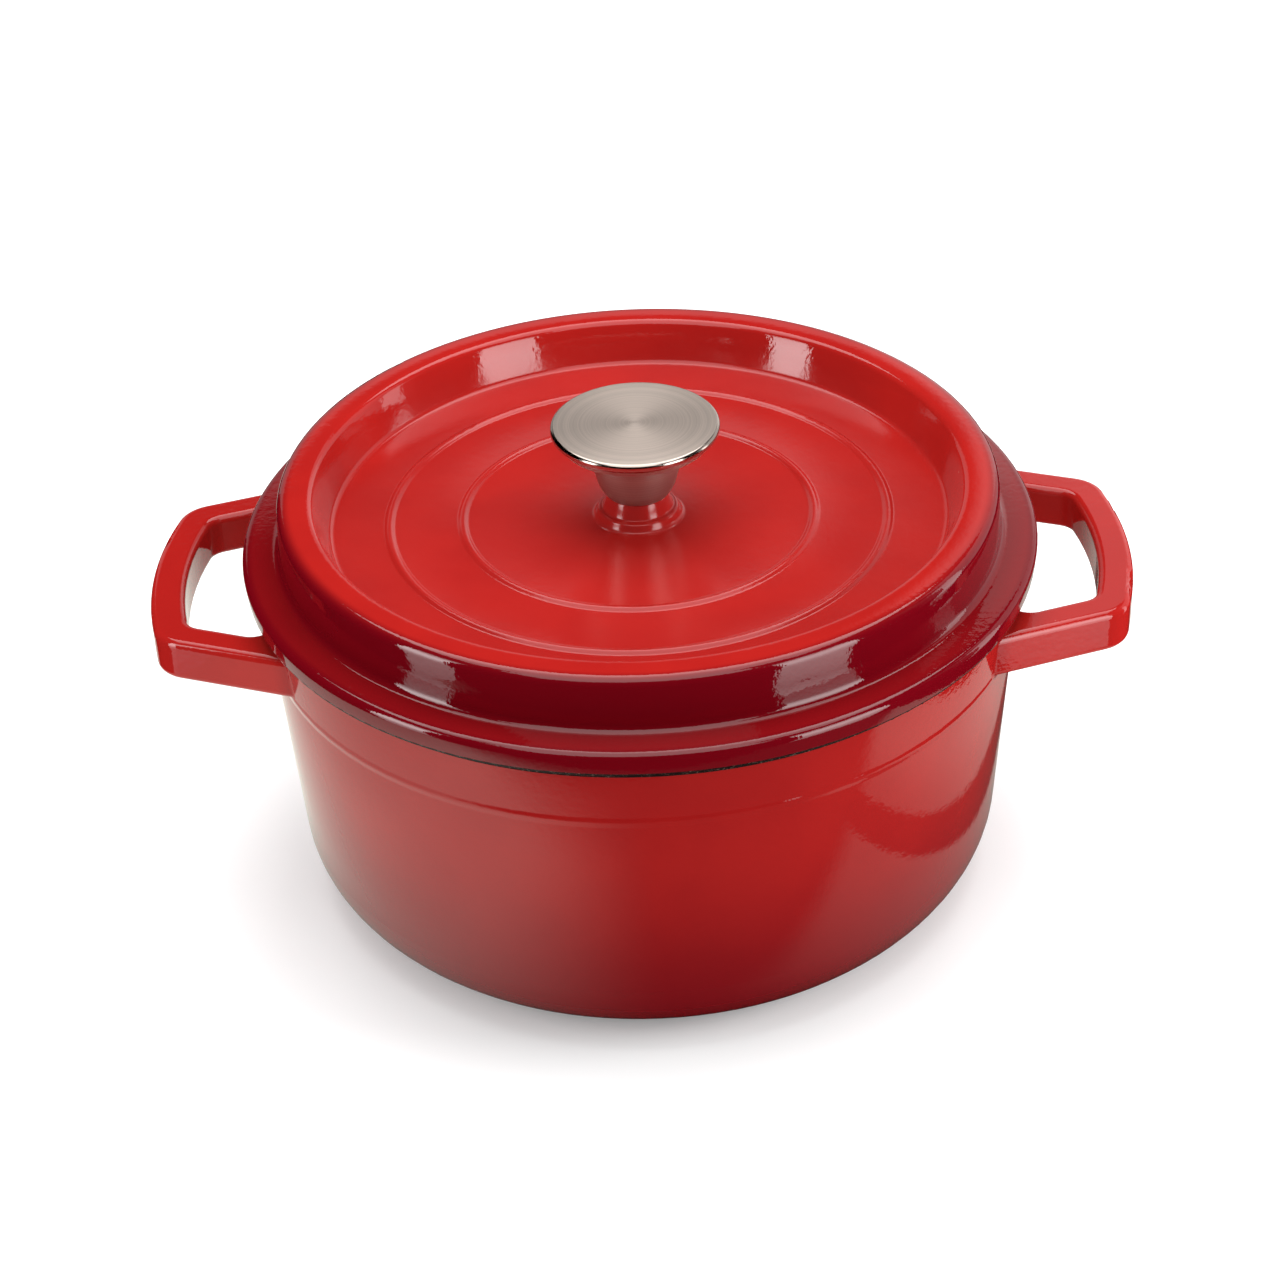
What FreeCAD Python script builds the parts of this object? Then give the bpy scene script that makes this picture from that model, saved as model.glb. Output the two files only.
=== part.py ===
import FreeCAD, Part
import math
import os

os.makedirs("parts", exist_ok=True)

# Millimetres, +Z up. The origin is the centre of the foot ring's resting plane, the pot's axis is Z
# and the two loop handles stand on -X and +X.

coat = 0.4              # every enamel and ground coat

# Pot, outer surface of the enamel
rim_r = 119.5           # wall radius at the rim
rim_z = 112.5           # top of the rim, where the lid rests
wall_draft = 4.17       # degrees the wall leans outwards
corner_r = 27.0         # round between the wall and the base
rim_w = 5.4             # width of the rim
rim_outer_round = 2.2
rim_inner_round = 1.4
red_edge_z = 109.9      # the black rim coat starts here, outside and inside

# Foot and base
foot_r = 96.5           # outer edge of the resting ring
foot_inner_r = 88.0
foot_h = 2.6
foot_edge = 0.5         # rounded outer edge of the ring
foot_slope = 1.5        # run of the ring's inner side
base_recess = 1.1       # underside of the base coat above the resting plane

# Pot inside, surface of the enamel
inner_low_r = 109.2     # wall radius at inner_low_z
inner_low_z = 30.0
inner_corner_r = 24.0
inner_floor_z = 6.2

# Loop handles
handle_reach = 153.8    # axis to the outermost point
handle_top = 107.7
handle_h = 14.0
grip_bow_r = 130.0      # bow of the grip's outer face in plan
grip_w = 10.8
leg_w = 10.6
leg_flare = 19.0        # degrees each leg spreads towards the pot
leg_out = 43.4          # half-width over the legs at leg_ref_x
leg_ref_x = 134.0
leg_root_x = 100.0      # the legs run on to here, inside the wall
window_root_x = 80.0    # the window's cut starts further in, so that it parts the legs
outer_round = 12.0      # outer corner in plan
window_round = 6.0      # window corner in plan
handle_edge = 2.2       # rounded edges of the loop
outer_flare = 9.0       # plan radius where a leg spreads into the wall
window_flare = 6.0      # the same on the window's side
flare_depth = 1.2       # how far inside the wall the flares would become tangent
root_fillet = 2.0       # small blend all round where a leg meets the wall
collar_below = 10.0     # wall modelled with the handles, below them
collar_deep = 2.0       # and its thickness there

# Lid, outer surface of the enamel
flange_r = 124.0
flange_top = 120.7
flange_edge = 2.2
flange_under_r = 123.2  # lower outer corner of the flange
flange_under_round = 1.8
red_lip_z = 114.0       # lower end of the lid's red enamel
ring_wall_r = 111.6
ring_wall_foot_r = 112.2
ring_top = 137.8
ring_outer_round = 3.0
ring_inner_r = 101.0
ring_inner_round = 2.6
flange_fillet = 2.8
floor_z = 124.2
floor_r = 96.0          # where the ring's inner wall meets the floor
floor_fillet = 2.4
ridge_radii = (54.8, 77.6)
ridge_half_w = 1.7
ridge_peak = 1.25       # before the crest is rounded
ridge_crest_round = 1.6
ridge_foot_round = 1.2
boss_h = 8.0
boss_top_r = 9.3
boss_foot_r = 11.0
boss_edge = 0.8
boss_fillet = 0.8
plinth_h = 3.1          # low step round the boss's foot
plinth_top_r = 12.5
plinth_foot_r = 13.6
plinth_edge = 1.2
plinth_fillet = 1.8

# Lid underside
lid_thick = 3.9
lip_outer_r = 113.3     # locating lip that drops into the pot
lip_inner_r = 108.4
lip_depth = 4.6
lip_round = 1.2
groove_outer_r = 107.2  # groove up into the raised ring, which keeps the casting even
groove_inner_r = 103.9
groove_foot_r = 99.0
groove_top = 133.4
groove_round = 1.4
groove_foot_round = 4.0
screw_hole_r = 3.3

# Knob
cap_r = 26.1
cap_h = 5.8
cap_crown = 0.25        # the top's rim lies this much lower than its middle
cap_top_round = 1.2
cap_bevel_h = 3.6       # bevel round the underside
cap_bevel_round = 0.8
cap_under_r = 23.0
cap_under_round = 0.6
stem_bottom_r = 9.8
stem_bottom_round = 1.0
stem_h = 18.5
stem_shoulder = (13.9, 10.9)   # radius and height where the bowl turns into the upper cone
stem_shoulder_round = 20.0
stem_bowl = (11.9, 3.4)        # where the foot's cone turns into the bowl
stem_bowl_round = 8.0
stem_top_r = 14.5
stem_step = 1.3         # chamfer that leaves a shadow line under the cap
spigot_r = 6.0
spigot_h = 6.0
spigot_edge = 0.5
spigot_space = 0.5      # left free under the spigot

# Screw and washers
screw_r = 3.0
thread_gap = 0.05       # the thread is a plain running fit
screw_into_stem = 9.0
hole_into_stem = 10.5
head_r = 5.6
head_h = 3.4
head_round = 1.6
slot_l = 6.4
slot_w = 1.2
slot_deep = 1.8
flat_washer_r = 8.0
flat_washer_t = 1.2
lock_washer_r = 5.4
washer_bore = 3.2
lock_washer_t = 1.6
lock_washer_gap = 1.2

# Derived
draft = math.radians(wall_draft)
slope = math.tan(draft)
flare = math.radians(leg_flare)
inner_rim_r = rim_r - rim_w
handle_bottom = handle_top - handle_h
floor_under = floor_z - lid_thick
boss_top = floor_z + boss_h
stem_top = boss_top + stem_h
far = 300.0
across = -20.0          # sections start beyond the axis, so that an offset leaves the axis alone


def vec(x, z):
    return FreeCAD.Vector(x, 0, z)


def section(corners):
    """Face in the XZ plane from (x, z) or (x, z, radius) corners, each rounded by its radius."""
    count = len(corners)
    edges = []
    ends = []
    for i in range(count):
        corner = vec(corners[i][0], corners[i][1])
        radius = corners[i][2] if len(corners[i]) == 3 else 0
        if radius == 0:
            ends.append((corner, corner))
            continue
        before = vec(*corners[i - 1][:2]) - corner
        after = vec(*corners[(i + 1) % count][:2]) - corner
        before.normalize()
        after.normalize()
        half = before.getAngle(after) / 2.0
        start = corner + before * (radius / math.tan(half))
        stop = corner + after * (radius / math.tan(half))
        middle = before + after
        middle.normalize()
        near = corner + middle * (radius / math.sin(half) - radius)
        edges.append(Part.Arc(start, near, stop).toShape())
        ends.append((start, stop))
    for i in range(count):
        a = ends[i][1]
        b = ends[(i + 1) % count][0]
        if a.distanceToPoint(b) > 1e-6:
            edges.append(Part.LineSegment(a, b).toShape())
    return Part.Face(Part.Wire(Part.__sortEdges__(edges)))


def box(x0, z0, x1, z1):
    return section([(x0, z0), (x1, z0), (x1, z1), (x0, z1)])


def revolve(face):
    """Turn a face in the XZ plane once round Z."""
    turned = face.revolve(FreeCAD.Vector(0, 0, 0), FreeCAD.Vector(0, 0, 1), 360)
    return turned.Solids[0]


def cylinder(radius, bottom, top):
    return Part.makeCylinder(radius, top - bottom, FreeCAD.Vector(0, 0, bottom))


def wall_r(z, inset):
    """Wall radius at height z, on a surface lying inset inside the enamel's outer surface."""
    return rim_r - inset / math.cos(draft) - (rim_z - z) * slope


def pot_section(inset):
    """Pot's wall and floor down to the foot, inset all round from the coats' surfaces."""
    lean = (inner_rim_r - inner_low_r) / (rim_z - inner_low_z)
    floor_corner = inner_low_r - (inner_low_z - inner_floor_z) * lean
    face = section([(across, 0), (wall_r(0, 0), 0, corner_r), (rim_r, rim_z, rim_outer_round),
                    (inner_rim_r, rim_z, rim_inner_round),
                    (floor_corner, inner_floor_z, inner_corner_r), (across, inner_floor_z)])
    if inset:
        face = face.makeOffset2D(-inset)
    return face.common(box(0, foot_h, far, far))


def foot_section():
    """Base below the wall's corner: the recess and the bare ring that the pot rests on."""
    recess = base_recess + coat
    return section([(0, recess), (foot_inner_r - foot_slope, recess), (foot_inner_r, 0),
                    (foot_r, 0, foot_edge), (foot_r, foot_h), (0, foot_h)])


def leg_side(x, offset):
    """Half-width of the legs' side plane at x, offset outwards from the nominal outer side."""
    return leg_out + offset + (leg_ref_x - x) * math.tan(flare)


def leg_end(bow_x, bow_r, offset):
    """Where the legs' side plane meets the bow, a circle round bow_x."""
    lean = math.tan(flare)
    at_axis = leg_side(0, offset)
    a = 1 + lean ** 2
    b = bow_x + at_axis * lean
    c = bow_x ** 2 + at_axis ** 2 - bow_r ** 2
    return (b + math.sqrt(b ** 2 - a * c)) / a


def upright_edges(shape):
    found = []
    for edge in shape.Edges:
        bounds = edge.BoundBox
        if bounds.XLength < 1e-4 and bounds.YLength < 1e-4 and bounds.ZLength > 0.5:
            found.append(edge)
    return found


def plan_block(side, offset, bow_r, radius, start_x, height):
    """Block bounded by two spreading legs and a bowed grip, with rounded corners in plan."""
    bow_x = handle_reach - grip_bow_r
    end_x = leg_end(bow_x, bow_r, offset)
    points = [FreeCAD.Vector(side * start_x, leg_side(start_x, offset), 0),
              FreeCAD.Vector(side * end_x, leg_side(end_x, offset), 0),
              FreeCAD.Vector(side * (bow_x + bow_r), 0, 0),
              FreeCAD.Vector(side * end_x, -leg_side(end_x, offset), 0),
              FreeCAD.Vector(side * start_x, -leg_side(start_x, offset), 0)]
    edges = [Part.LineSegment(points[0], points[1]).toShape(),
             Part.Arc(points[1], points[2], points[3]).toShape(),
             Part.LineSegment(points[3], points[4]).toShape(),
             Part.LineSegment(points[4], points[0]).toShape()]
    prism = Part.Face(Part.Wire(edges)).extrude(FreeCAD.Vector(0, 0, height))
    corners = [e for e in upright_edges(prism) if abs(abs(e.CenterOfMass.x) - end_x) < 0.01]
    return prism.makeFillet(radius, corners)


def root_corners(belt, disc_r, window):
    """Upright edges where the legs meet the disc, on the window's side or the outer side."""
    found = []
    for edge in upright_edges(belt):
        centre = edge.CenterOfMass
        on_disc = abs(math.hypot(centre.x, centre.y) - disc_r) < 0.01
        if on_disc and (abs(centre.y) < leg_out) == window:
            found.append(edge)
    return found


def handle_belt(inset):
    """Both loop handles, joined by a disc that stays inside the wall, with rounded edges."""
    height = handle_h - 2 * inset
    disc_r = wall_r(handle_bottom, inset) - flare_depth
    spread = inset / math.cos(flare)
    leg = leg_w / math.cos(flare)
    belt = Part.makeCylinder(disc_r, height)
    for side in (-1, 1):
        outside = plan_block(side, -spread, grip_bow_r - inset, outer_round - inset,
                             leg_root_x, height)
        window = plan_block(side, spread - leg, grip_bow_r - grip_w + inset,
                            window_round + inset, window_root_x, height)
        belt = belt.fuse(outside.cut(window))
    belt = belt.removeSplitter().Solids[0]
    belt = belt.makeFillet(window_flare + inset, root_corners(belt, disc_r, True)).Solids[0]
    belt = belt.makeFillet(outer_flare + inset, root_corners(belt, disc_r, False)).Solids[0]
    rims = [e for e in belt.Edges if e.BoundBox.ZLength < 1e-4]
    belt = belt.makeFillet(handle_edge - inset, rims).Solids[0]
    belt.translate(FreeCAD.Vector(0, 0, handle_bottom + inset))
    return belt


def lies_on_wall(edge, inset):
    """True for the edges where the handles' surfaces meet the wall."""
    bounds = edge.BoundBox
    if bounds.ZMin < handle_bottom - 0.5 or bounds.ZMax > handle_top + 0.5:
        return False
    first, last = edge.ParameterRange
    for share in (0.0, 0.3, 0.7, 1.0):
        point = edge.valueAt(first + (last - first) * share)
        if abs(math.hypot(point.x, point.y) - wall_r(point.z, inset)) > 0.02:
            return False
    return True


def handle_collar(inset):
    """Band of the wall with both handles on it, blended into each other."""
    low = handle_bottom - collar_below
    wall = Part.makeCone(wall_r(low, inset), wall_r(rim_z, inset), rim_z - low,
                         FreeCAD.Vector(0, 0, low))
    solid = wall.fuse(handle_belt(inset)).Solids[0]
    roots = [e for e in solid.Edges if lies_on_wall(e, inset)]
    solid = solid.makeFillet(root_fillet + inset, roots).Solids[0]
    band = revolve(box(wall_r(low, 0) - collar_deep, low, far, red_edge_z))
    return solid.common(band).Solids[0]


def make_pot():
    iron = revolve(pot_section(coat)).fuse(revolve(foot_section()))
    iron = iron.fuse(handle_collar(coat)).removeSplitter().Solids[0]
    skin = pot_section(0).cut(pot_section(coat))
    rim = skin.common(box(0, red_edge_z, far, far)).Faces[0]
    sides = skin.common(box(0, foot_h, far, red_edge_z)).Faces
    sides.sort(key=lambda face: face.BoundBox.XMax)
    outer = revolve(sides[-1]).fuse(handle_collar(0)).cut(iron)
    outer = max(outer.Solids, key=lambda solid: solid.BoundBox.XLength)
    under = base_recess + coat
    ring_side = foot_inner_r - foot_slope
    base = section([(0, base_recess), (ring_side + foot_slope * coat / under, base_recess),
                    (ring_side, under), (0, under)])
    return {"pot_casting": iron, "pot_outer_enamel": outer, "pot_rim_enamel": revolve(rim),
            "pot_inner_enamel": revolve(sides[0]), "pot_base_enamel": revolve(base)}


def ridge(radius):
    """Corners of one raised circle on the lid's floor."""
    return [(radius - ridge_half_w, floor_z, ridge_foot_round),
            (radius, floor_z + ridge_peak, ridge_crest_round),
            (radius + ridge_half_w, floor_z, ridge_foot_round)]


def lid_section():
    """Lid with all its coats."""
    plinth_top = floor_z + plinth_h
    top = [(across, boss_top), (boss_top_r, boss_top, boss_edge),
           (boss_foot_r, plinth_top, boss_fillet), (plinth_top_r, plinth_top, plinth_edge),
           (plinth_foot_r, floor_z, plinth_fillet)]
    for radius in ridge_radii:
        top += ridge(radius)
    top += [(floor_r, floor_z, floor_fillet), (ring_inner_r, ring_top, ring_inner_round),
            (ring_wall_r, ring_top, ring_outer_round),
            (ring_wall_foot_r, flange_top, flange_fillet),
            (flange_r, flange_top, flange_edge), (flange_under_r, rim_z, flange_under_round)]
    bottom = [(lip_outer_r, rim_z), (lip_outer_r, rim_z - lip_depth, lip_round),
              (lip_inner_r, rim_z - lip_depth, lip_round),
              (groove_outer_r, groove_top, groove_round),
              (groove_inner_r, groove_top, groove_round),
              (groove_foot_r, floor_under, groove_foot_round), (across, floor_under)]
    return section(top + bottom)


def make_lid():
    outside_hole = box(screw_hole_r, 0, far, far)
    whole = lid_section()
    iron = whole.makeOffset2D(-coat).common(outside_hole)
    skin = whole.common(outside_hole).cut(iron)
    seat_zone = box(lip_inner_r + 2 * coat, rim_z - lip_depth + lip_round, far, red_lip_z)
    seat = skin.common(seat_zone).Faces[0]
    rest = skin.cut(seat_zone).Faces
    rest.sort(key=lambda face: face.BoundBox.ZMax)
    return {"lid_casting": revolve(iron.Faces[0]), "lid_rim_enamel": revolve(seat),
            "lid_inner_enamel": revolve(rest[0]), "lid_outer_enamel": revolve(rest[-1])}


def make_stem():
    """Bowl-shaped knob stem with a tapped hole below and a seat for the cap's spigot above."""
    outline = section([(0, boss_top), (stem_bottom_r, boss_top, stem_bottom_round),
                       (stem_bowl[0], boss_top + stem_bowl[1], stem_bowl_round),
                       (stem_shoulder[0], boss_top + stem_shoulder[1], stem_shoulder_round),
                       (stem_top_r, stem_top - stem_step), (stem_top_r - stem_step, stem_top),
                       (0, stem_top)])
    hole = cylinder(screw_r + thread_gap, boss_top, boss_top + hole_into_stem)
    seat = cylinder(spigot_r, stem_top - spigot_h - spigot_space, stem_top)
    return revolve(outline).cut(hole).cut(seat)


def make_cap():
    top = stem_top + cap_h
    return revolve(section([(0, stem_top - spigot_h), (spigot_r, stem_top - spigot_h, spigot_edge),
                            (spigot_r, stem_top), (cap_under_r, stem_top, cap_under_round),
                            (cap_r, stem_top + cap_bevel_h, cap_bevel_round),
                            (cap_r, top - cap_crown, cap_top_round), (0, top)]))


def make_screw():
    """Pan head screw with a cross recess, standing head down under the lid."""
    head_top = floor_under - flat_washer_t - lock_washer_t
    head_bottom = head_top - head_h
    head = revolve(section([(0, head_bottom), (head_r, head_bottom, head_round),
                            (head_r, head_top), (0, head_top)]))
    screw = head.fuse(cylinder(screw_r, head_top, boss_top + screw_into_stem)).removeSplitter()
    for length, width in ((slot_l, slot_w), (slot_w, slot_l)):
        corner = FreeCAD.Vector(-length / 2, -width / 2, head_bottom)
        screw = screw.cut(Part.makeBox(length, width, slot_deep, corner))
    return screw.Solids[0]


def make_washers():
    flat_bottom = floor_under - flat_washer_t
    flat = cylinder(flat_washer_r, flat_bottom, floor_under).cut(
        cylinder(washer_bore, flat_bottom, floor_under))
    lock_bottom = flat_bottom - lock_washer_t
    lock = cylinder(lock_washer_r, lock_bottom, flat_bottom).cut(
        cylinder(washer_bore, lock_bottom, flat_bottom))
    split = Part.makeBox(flat_washer_r, lock_washer_gap, lock_washer_t,
                         FreeCAD.Vector(0, -lock_washer_gap / 2, lock_bottom))
    return {"flat_washer": flat, "lock_washer": lock.cut(split)}


nodes = make_pot()
nodes.update(make_lid())
nodes.update(make_washers())
nodes["knob_stem"] = make_stem()
nodes["knob_cap"] = make_cap()
nodes["lid_screw"] = make_screw()

for name, shape in nodes.items():
    solid = shape.Solids[0]
    solid.exportStep("parts/" + name + ".step")
    print(name, len(shape.Solids), solid.isValid(), round(solid.Volume, 1))
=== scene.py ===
import math

import bpy
from mathutils import Matrix, Vector

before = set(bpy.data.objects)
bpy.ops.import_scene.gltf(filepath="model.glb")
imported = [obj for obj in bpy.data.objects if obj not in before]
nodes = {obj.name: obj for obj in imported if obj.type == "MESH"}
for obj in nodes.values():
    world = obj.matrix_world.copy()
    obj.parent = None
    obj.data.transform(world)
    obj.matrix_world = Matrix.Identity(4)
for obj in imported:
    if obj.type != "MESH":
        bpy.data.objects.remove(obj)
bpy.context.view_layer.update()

MM = 0.001

# Radii from the axis, and one height above the floor, at which a look changes
LID_FLOOR_R = 94 * MM        # outer edge of the lid's flat floor
RING_INNER_R = 101 * MM      # inner edge of the lid's raised ring
RING_TOP_R = 107 * MM        # on top of the ring
RING_WALL_R = 111.5 * MM     # at the ring's outer wall
FLANGE_FOOT_R = 112 * MM     # where the flange leaves the ring
FLANGE_EDGE_R = 123 * MM     # on the flange's rounded edge
WALL_R = 119 * MM            # just inside the pot's wall at the rim
BEAD_Z = 92.6 * MM           # thin bead round the pot's wall
CAP_EDGE_R = 24.9 * MM       # where the round at the knob cap's edge starts


# ---------------------------------------------------------------- node helpers

class Graph:
    """Short way to add and join the nodes of a tree."""

    def __init__(self, tree):
        self.tree = tree

    def add(self, kind, inputs=None, **settings):
        node = self.tree.nodes.new(kind)
        for key, value in settings.items():
            setattr(node, key, value)
        for key, value in (inputs or {}).items():
            self.feed(node.inputs[key], value)
        return node

    def feed(self, socket, value):
        if isinstance(value, bpy.types.NodeSocket):
            self.tree.links.new(value, socket)
        else:
            socket.default_value = value

    def math(self, operation, a, b=0.0):
        return self.add("ShaderNodeMath", {0: a, 1: b}, operation=operation).outputs[0]

    def plus(self, a, b):
        return self.math("ADD", a, b)

    def minus(self, a, b):
        return self.math("SUBTRACT", a, b)

    def times(self, a, b):
        return self.math("MULTIPLY", a, b)

    def over(self, a, b):
        return self.math("DIVIDE", a, b)

    def split(self, vector):
        return self.add("ShaderNodeSeparateXYZ", {0: vector}).outputs

    def join(self, x, y, z=0.0):
        return self.add("ShaderNodeCombineXYZ", {0: x, 1: y, 2: z}).outputs[0]

    def radius(self, vector):
        """Distance from the Z axis."""
        x, y, _ = self.split(vector)
        return self.math("SQRT", self.plus(self.times(x, x), self.times(y, y)))


class Look(Graph):
    """Nodes of a new material."""

    def __init__(self, name):
        self.material = bpy.data.materials.new(name)
        self.material.use_nodes = True
        super().__init__(self.material.node_tree)
        self.tree.nodes.clear()
        self.output = self.add("ShaderNodeOutputMaterial")

    def between(self, value, low, high):
        """0 at low, 1 at high, smooth in between and level outside."""
        inputs = {"Value": value, "From Min": low, "From Max": high}
        return self.add("ShaderNodeMapRange", inputs, interpolation_type="SMOOTHSTEP").outputs["Result"]

    def inside(self, value, low, high, soft):
        """1 between low and high and 0 outside, with a soft step at both."""
        return self.times(self.between(value, low, low + soft), self.between(value, high, high - soft))

    def bell(self, value, middle, half_width):
        """1 at the middle, falling smoothly to 0 at half a width either side."""
        away = self.math("ABSOLUTE", self.minus(value, middle))
        return self.between(away, half_width, 0.0)

    def mix(self, share, a, b):
        node = self.add("ShaderNodeMix", data_type="RGBA")
        self.feed(node.inputs["Factor"], share)
        self.feed(node.inputs[6], a)
        self.feed(node.inputs[7], b)
        return node.outputs[2]

    def point(self):
        return self.add("ShaderNodeTexCoord").outputs["Object"]

    def noise(self, vector, size, detail=2.0, rough=0.5):
        """Noise whose lumps are about size metres across."""
        inputs = {"Vector": vector, "Scale": 1.0 / size, "Detail": detail, "Roughness": rough}
        return self.add("ShaderNodeTexNoise", inputs).outputs["Fac"]

    def spots(self, vector, spacing, radius, share):
        """1 inside small round spots, which only a share of the cells has."""
        cells = self.add("ShaderNodeTexVoronoi", {"Vector": vector, "Scale": 1.0 / spacing})
        chosen = self.math("LESS_THAN", self.split(cells.outputs["Color"])[0], share)
        inside = self.between(cells.outputs["Distance"], radius / spacing, 0.4 * radius / spacing)
        return self.times(chosen, inside)

    def bump(self, height, distance, normal=None):
        """Relief of the given height in metres on top of another."""
        inputs = {"Height": height, "Strength": 1.0, "Distance": distance}
        if normal is not None:
            inputs["Normal"] = normal
        return self.add("ShaderNodeBump", inputs).outputs["Normal"]

    def show(self, shader):
        self.tree.links.new(shader.outputs[0], self.output.inputs["Surface"])
        return self.material

    def surface(self, **inputs):
        named = {key.replace("_", " "): value for key, value in inputs.items()}
        return self.show(self.add("ShaderNodeBsdfPrincipled", named))


def rgb(red, green, blue):
    return (red, green, blue, 1.0)


# ---------------------------------------------------------------- materials

# Bright red for faces the light reaches fully, and a deep red that paints shade on faces it reaches
# less and also tints the random mottling.
BRIGHT_RED = rgb(0.37, 0.0125, 0.010)
SHADE_AND_MOTTLE_RED = rgb(0.125, 0.0012, 0.0045)
PAINTED_GLINT = rgb(0.60, 0.25, 0.20)


def enamel_relief(g, point):
    """Slow waves, orange peel and rare pinholes of a fired enamel."""
    waves = g.bump(g.noise(point, 28 * MM, 1.0), 0.08 * MM)
    peel = g.bump(g.noise(point, 2.2 * MM, 2.0, 0.6), 0.042 * MM, waves)
    pinholes = g.spots(point, 16 * MM, 0.35 * MM, 0.25)
    return g.bump(pinholes, -0.05 * MM, peel)


def wall_relief(g, point):
    """Enamel relief with the thin bead that runs round the wall under the handles."""
    bead = g.bell(g.split(point)[2], BEAD_Z, 2.0 * MM)
    return g.bump(bead, 0.2 * MM, enamel_relief(g, point))


def lid_painted_shade(g, point):
    """Painted shade: the raised ring's outer wall and the flange's edge are painted deep red, the
    flange's top a little less, the lid's flat bright.
    """
    r = g.radius(point)
    soft = 3 * MM
    outer_shade = g.between(r, RING_TOP_R, RING_WALL_R)
    leaves_ring = g.between(r, FLANGE_FOOT_R, FLANGE_FOOT_R + soft)
    nears_edge = g.between(r, FLANGE_EDGE_R - soft, FLANGE_EDGE_R)
    return g.minus(outer_shade, g.times(g.minus(leaves_ring, nears_edge), 0.24))


def pot_painted_shade(g, point):
    """Painted shade: the wall is painted a little deeper than the handles, and darker towards the foot.
    """
    wall = g.times(g.between(g.radius(point), WALL_R + 4 * MM, WALL_R), 0.30)
    foot = g.times(g.between(g.split(point)[2], 80 * MM, 12 * MM), 0.60)
    return g.plus(wall, foot)


def glassy(g, point):
    """Small patches where the glass is a little less clear."""
    return g.plus(0.025, g.times(g.noise(point, 12 * MM, 3.0), 0.03))


def lid_gloss(g, point):
    """The lid's floor came out of the kiln less glassy than its rim."""
    dull = g.times(g.between(g.radius(point), RING_INNER_R, LID_FLOOR_R), 0.13)
    return g.plus(glassy(g, point), dull)


def red_enamel(name, shade_map, rough, normal):
    """Sprayed red enamel with painted shade. The shade function, called with (graph, point), gives 0
    for the bright red and 1 for the deep red.
    """
    g = Look(name)
    point = g.point()
    cloud = g.between(g.noise(point, 30 * MM, 3.0), 0.35, 0.65)
    # Painted glints: rare pale specks that stand in for the glints on the enamel's pinholes
    speck = g.spots(point, 24 * MM, 0.35 * MM, 0.3)
    # Painted shade: deep red where the shade function is high
    colour = g.mix(shade_map(g, point), BRIGHT_RED, SHADE_AND_MOTTLE_RED)
    colour = g.mix(g.times(cloud, 0.12), colour, SHADE_AND_MOTTLE_RED)
    colour = g.mix(g.times(speck, 0.6), colour, PAINTED_GLINT)
    return g.surface(Base_Color=colour, Roughness=rough(g, point), IOR=1.5, Normal=normal(g, point))


def light_enamel(name):
    """Cream enamel of the cooking side."""
    g = Look(name)
    point = g.point()
    colour = g.mix(g.noise(point, 40 * MM, 4.0), rgb(0.66, 0.59, 0.46), rgb(0.76, 0.70, 0.58))
    return g.surface(Base_Color=colour, Roughness=0.09, Normal=enamel_relief(g, point))


def ground_coat(name):
    """Thin black enamel with pale specks on the bare rims."""
    g = Look(name)
    point = g.point()
    speck = g.between(g.noise(point, 0.7 * MM, 2.0, 0.7), 0.58, 0.66)
    colour = g.mix(speck, rgb(0.010, 0.005, 0.004), rgb(0.09, 0.06, 0.045))
    relief = g.bump(g.noise(point, 1.1 * MM, 3.0), 0.08 * MM)
    return g.surface(Base_Color=colour, Roughness=0.5, Specular_IOR_Level=0.12, Normal=relief)


def cast_iron(name):
    """Rough grey iron, which the coats cover."""
    g = Look(name)
    point = g.point()
    colour = g.mix(g.noise(point, 5 * MM, 4.0), rgb(0.035, 0.032, 0.03), rgb(0.09, 0.08, 0.07))
    relief = g.bump(g.noise(point, 0.8 * MM, 3.0), 0.1 * MM)
    return g.surface(Base_Color=colour, Roughness=0.6, Metallic=0.6, Normal=relief)


def turned_steel(name, tint, rough, groove, polished_from=1.0):
    """Steel turned on a lathe, with grooves round Z, and polished beyond a radius in metres."""
    polished_rough = 0.17
    groove_shade = 0.84
    g = Look(name)
    point = g.point()
    r = g.radius(point)
    rings = g.noise(g.join(r, g.split(point)[2]), groove, 3.0, 0.7)
    darker = rgb(*(groove_shade * part for part in tint[:3]))
    colour = g.mix(g.between(rings, 0.35, 0.65), tint, darker)
    polish = g.between(r, polished_from, polished_from + 0.5 * MM)
    roughness = g.minus(rough, g.times(polish, rough - polished_rough))
    tangent = g.add("ShaderNodeTangent", direction_type="RADIAL", axis="Z").outputs[0]
    return g.surface(Base_Color=colour, Metallic=1.0, Roughness=roughness, Anisotropic=0.36,
                     Anisotropic_Rotation=0.25, Tangent=tangent, Normal=g.bump(rings, 0.006 * MM))


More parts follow.
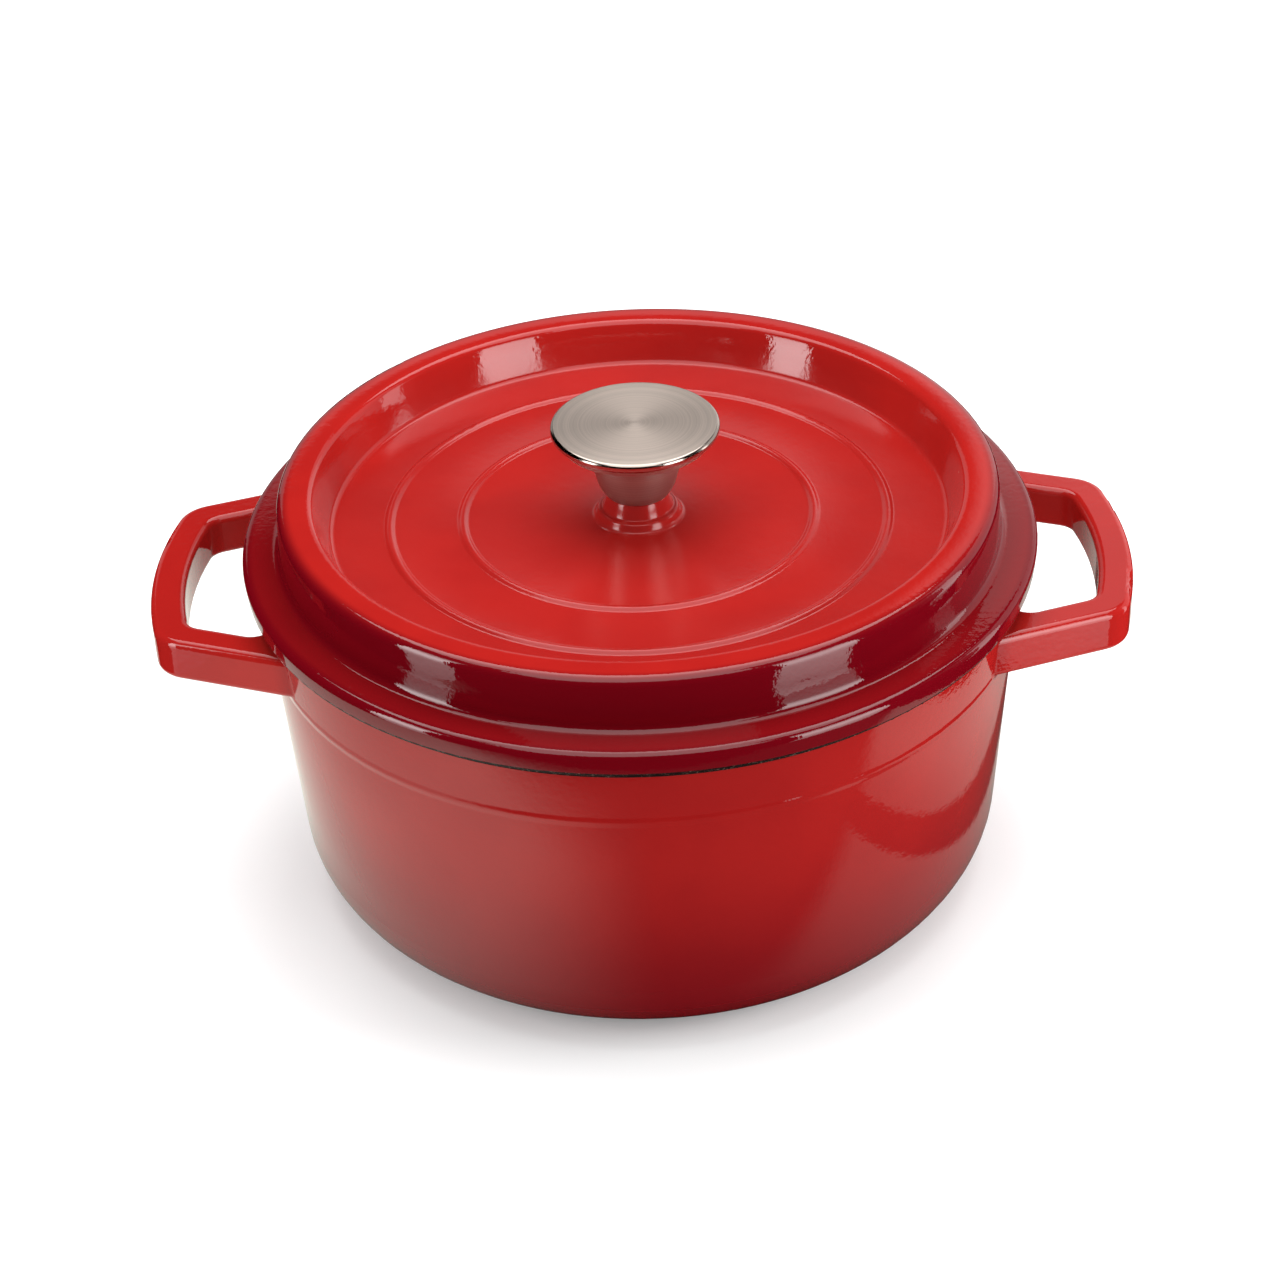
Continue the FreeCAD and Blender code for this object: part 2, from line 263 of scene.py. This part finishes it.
looks = {
    "pot_casting": cast_iron("bare_iron"),
    "pot_outer_enamel": red_enamel("pot_red_enamel", pot_painted_shade, glassy, wall_relief),
    "pot_inner_enamel": light_enamel("pot_light_enamel"),
    "pot_rim_enamel": ground_coat("pot_ground_coat"),
    "pot_base_enamel": ground_coat("base_ground_coat"),
    "lid_casting": cast_iron("lid_iron"),
    "lid_outer_enamel": red_enamel("lid_red_enamel", lid_painted_shade, lid_gloss, enamel_relief),
    "lid_inner_enamel": light_enamel("lid_light_enamel"),
    "lid_rim_enamel": ground_coat("lid_ground_coat"),
    "knob_cap": turned_steel("brushed_cap", rgb(0.55, 0.465, 0.41), rough=0.5, groove=0.4 * MM,
                             polished_from=CAP_EDGE_R),
    "knob_stem": turned_steel("turned_stem", rgb(0.46, 0.42, 0.38), rough=0.48, groove=0.5 * MM),
    "lid_screw": turned_steel("screw_steel", rgb(0.55, 0.54, 0.52), rough=0.25, groove=0.6 * MM),
    "lock_washer": turned_steel("spring_steel", rgb(0.42, 0.41, 0.40), rough=0.35, groove=0.6 * MM),
    "flat_washer": turned_steel("washer_steel", rgb(0.55, 0.54, 0.52), rough=0.3, groove=0.6 * MM),
}
for name, material in looks.items():
    data = nodes[name].data
    data.materials.clear()
    data.materials.append(material)


# ---------------------------------------------------------------- smooth highlights

def turned_normals():
    """Modifier nodes that even out a turned part's shading and leave its shape alone.

    The corners at one radius and height, on one side of a sharp edge, form a ring. All of a ring's
    normals get its median slope.
    """
    tree = bpy.data.node_groups.new("turned_normals", "GeometryNodeTree")
    for way in ("INPUT", "OUTPUT"):
        tree.interface.new_socket("Mesh", in_out=way, socket_type="NodeSocketGeometry")
    g = Graph(tree)
    position = g.add("GeometryNodeInputPosition").outputs[0]
    x, y, z = g.split(position)
    radius = g.radius(position)
    across, along, up = g.split(g.add("GeometryNodeInputNormal").outputs[0])
    outward = g.over(g.plus(g.times(x, across), g.times(y, along)), radius)

    # One whole number for each radius, height and facing (down, sideways or up)
    step = 0.02 * MM
    most_steps = 8192.0
    facings = 3.0
    radius_step = g.math("ROUND", g.over(radius, step))
    height_step = g.math("ROUND", g.over(z, step))
    place = g.plus(g.times(radius_step, most_steps), height_step)
    code = g.plus(g.times(place, facings), g.math("ROUND", up))
    ring = g.add("FunctionNodeFloatToInt", {0: code}).outputs[0]

    def median(value):
        inputs = {"Value": value, "Group ID": ring}
        return g.add("GeometryNodeFieldAverage", inputs, domain="CORNER").outputs["Median"]

    share = g.over(median(outward), radius)
    inputs = {
        "Mesh": g.add("NodeGroupInput").outputs[0],
        "Custom Normal": g.join(g.times(x, share), g.times(y, share), median(up)),
    }
    mesh = g.add("GeometryNodeSetMeshNormal", inputs, mode="FREE", domain="CORNER").outputs[0]
    g.add("NodeGroupOutput", {0: mesh})
    return tree


even_rings = turned_normals()
for name in ("lid_outer_enamel", "lid_inner_enamel", "knob_cap", "knob_stem"):
    nodes[name].modifiers.new("turned_normals", "NODES").node_group = even_rings


# ---------------------------------------------------------------- studio

def stage_plane(name, corners, material):
    mesh = bpy.data.meshes.new(name)
    mesh.from_pydata(corners, [], [(0, 1, 2, 3)])
    mesh.materials.append(material)
    plane = bpy.data.objects.new(name, mesh)
    bpy.context.collection.objects.link(plane)
    return plane


def level_corners(left, right, front, back, height):
    return [(left, front, height), (right, front, height), (right, back, height), (left, back, height)]


def floor():
    """Pale paper that glows a little, as if lit from below, and that gloss doesn't show."""
    half = 12.0
    g = Look("floor_paper")
    shade = g.noise(g.point(), 0.2, 2.0)
    paper = g.surface(Base_Color=g.mix(shade, rgb(0.87, 0.89, 0.89), rgb(0.89, 0.91, 0.91)),
                      Roughness=0.9, Specular_IOR_Level=0.1,
                      Emission_Color=rgb(1, 1, 1), Emission_Strength=0.15)
    stage_plane("floor", level_corners(-half, half, -half, half, 0), paper).visible_glossy = False


def reflector(name, corners, glow, tint=rgb(1, 1, 1)):
    """Glowing sheet that only shows in gloss. glow(graph, point) is its brightness."""
    g = Look(name)
    material = g.show(g.add("ShaderNodeEmission", {"Color": tint, "Strength": glow(g, g.point())}))
    material.cycles.emission_sampling = "NONE"
    sheet = stage_plane(name, corners, material)
    sheet.visible_camera = False
    sheet.visible_diffuse = False
    sheet.visible_shadow = False
    sheet.visible_transmission = False


def strip_box(name, azimuth, distance, width, level, peak):
    """Tall softbox beside the pot, with a brighter middle. Azimuth 0 is in front, +90 is on +X."""
    bottom, top = -0.25, 1.2
    fade_in, fade_out = (-0.35, 0.0), (0.60, 0.38)
    peak_z, peak_half = 0.26, 0.30
    a = math.radians(azimuth)
    middle = Vector((math.sin(a), -math.cos(a), 0)) * distance
    side = Vector((math.cos(a), math.sin(a), 0)) * width / 2

    def glow(g, point):
        z = g.split(point)[2]
        even = g.times(g.between(z, *fade_in), g.between(z, *fade_out))
        return g.plus(g.times(even, level), g.times(g.bell(z, peak_z, peak_half), peak))

    places = ((-1, bottom), (1, bottom), (1, top), (-1, top))
    reflector(name, [middle + way * side + Vector((0, 0, z)) for way, z in places], glow)


def overhead_box():
    """Wide soft light above the pot, brighter behind it."""
    level, more_behind = 2.1, 1.5

    def glow(g, point):
        return g.plus(level, g.times(g.between(g.split(point)[1], 0.0, 0.5), more_behind))

    corners = level_corners(left=-0.8, right=0.8, front=-1.3, back=1.0, height=1.4)
    reflector("overhead_box", corners, glow)


def back_cards():
    """Pale wall behind the pot, low down and to the right, and a pale card on its right side."""
    left, corner, front = (-0.9, 1.2), (0.9, 1.2), (1.1, -0.1)
    height = 1.1

    def upright(a, b):
        return [(*a, 0), (*b, 0), (*b, height), (*a, height)]

    def back_glow(g, point):
        x, _, z = g.split(point)
        return g.plus(g.times(g.between(x, 0.13, 0.32), 0.6), g.times(g.between(z, 0.83, 0.70), 0.45))

    def side_glow(g, point):
        return g.times(g.between(g.split(point)[1], -0.2, 0.5), 0.7)

    reflector("back_wall", upright(left, corner), back_glow)
    reflector("right_card", upright(corner, front), side_glow)


def shooting_table():
    """Light surface beside the pot's foot, brightest on the left, with a dark gap on the right and a
    painted shadow round the pot.
    """
    front = -0.23
    corners = level_corners(left=-0.25, right=0.21, front=front, back=0.40, height=MM)
    faint = 0.07
    # Painted shadow of the pot: the glow is dark near the pot and full from the second radius on
    pot_shadow_r, clear_r = 0.092, 0.135    # dark under the pot, and full from the second radius on

    def left_part(g, x, y):
        bright = g.times(g.between(x, 0.01, -0.10), 1.05)
        fades = g.times(g.between(x, -0.14, -0.22), 0.28)
        return g.times(g.minus(bright, fades), g.between(y, front, -0.17))

    def right_part(g, x, y):
        board = g.times(g.between(y, -0.135, -0.117), g.between(x, 0.02, 0.11))
        gap = g.inside(x, 0.130, 0.152, 0.002)
        brighter = g.times(g.between(x, 0.15, 0.19), 0.30)
        return g.times(g.times(board, g.minus(1.0, gap)), g.plus(0.40, brighter))

    def glow(g, point):
        x, y, _ = g.split(point)
        light = g.plus(g.plus(left_part(g, x, y), right_part(g, x, y)), faint)
        return g.times(light, g.between(g.radius(point), pot_shadow_r, clear_r))

    reflector("shooting_table", corners, glow, rgb(0.94, 0.97, 0.87))


def soft_light(name, place, aim, size, watts):
    """Area light that shades the object without showing in its gloss."""
    light = bpy.data.lights.new(name, "AREA")
    light.shape = "RECTANGLE"
    light.size, light.size_y = size
    light.energy = watts
    lamp = bpy.data.objects.new(name, light)
    lamp.visible_camera = False
    lamp.visible_glossy = False
    bpy.context.collection.objects.link(lamp)
    lamp.location = place
    lamp.rotation_euler = (Vector(place) - Vector(aim)).to_track_quat("Z", "Y").to_euler()


def studio():
    """White dome for even light, soft lights for shape, and reflectors for the gloss."""
    world = bpy.data.worlds.new("studio")
    bpy.context.scene.world = world
    world.use_nodes = True
    dome = world.node_tree.nodes["Background"]
    dome.inputs["Color"].default_value = rgb(1, 1, 1)
    dome.inputs["Strength"].default_value = 0.85
    world.cycles_visibility.glossy = False
    bpy.context.scene.view_settings.view_transform = "Standard"
    wall = (0, 0, 0.08)
    soft_light("top_light", (0, 0.2, 1.3), aim=(0, 0, 0), size=(1.2, 1.0), watts=14.5)
    soft_light("right_light", (1.2, -0.1, 0.36), aim=wall, size=(0.6, 0.6), watts=12)
    soft_light("left_light", (-1.2, -0.2, 0.5), aim=wall, size=(0.6, 0.6), watts=3)
    strip_box("left_box", azimuth=-60.6, distance=0.6, width=0.16, level=2.5, peak=6.0)
    strip_box("right_box", azimuth=48.7, distance=0.6, width=0.24, level=3.6, peak=3.5)
    strip_box("side_box", azimuth=98.0, distance=0.82, width=0.14, level=2.6, peak=0.0)
    overhead_box()
    back_cards()
    shooting_table()


def camera():
    """Long lens at the photograph's height, tilt and slight roll."""
    azimuth, elevation = math.radians(1.1), math.radians(31.5)
    tilt, roll = math.radians(-2.5), math.radians(-2.4)
    distance = 0.9358
    aim = Vector((-0.0012, 0, 0.1253))

    data = bpy.data.cameras.new("camera")
    data.sensor_width = 36.0
    data.lens = 84.375
    eye = bpy.data.objects.new("camera", data)
    bpy.context.collection.objects.link(eye)

    level = math.cos(elevation)
    back = Vector((math.sin(azimuth) * level, -math.cos(azimuth) * level, math.sin(elevation)))
    forward = -back
    right = Vector((math.cos(azimuth), math.sin(azimuth), 0))
    up = right.cross(forward)
    forward = (forward + math.tan(tilt) * up).normalized()
    up = right.cross(forward)
    rolled_right = math.cos(roll) * right + math.sin(roll) * up
    rolled_up = math.cos(roll) * up - math.sin(roll) * right
    turn = Matrix((rolled_right, rolled_up, -forward)).transposed()
    eye.matrix_world = Matrix.Translation(aim + distance * back) @ turn.to_4x4()
    bpy.context.scene.camera = eye


floor()
studio()
camera()
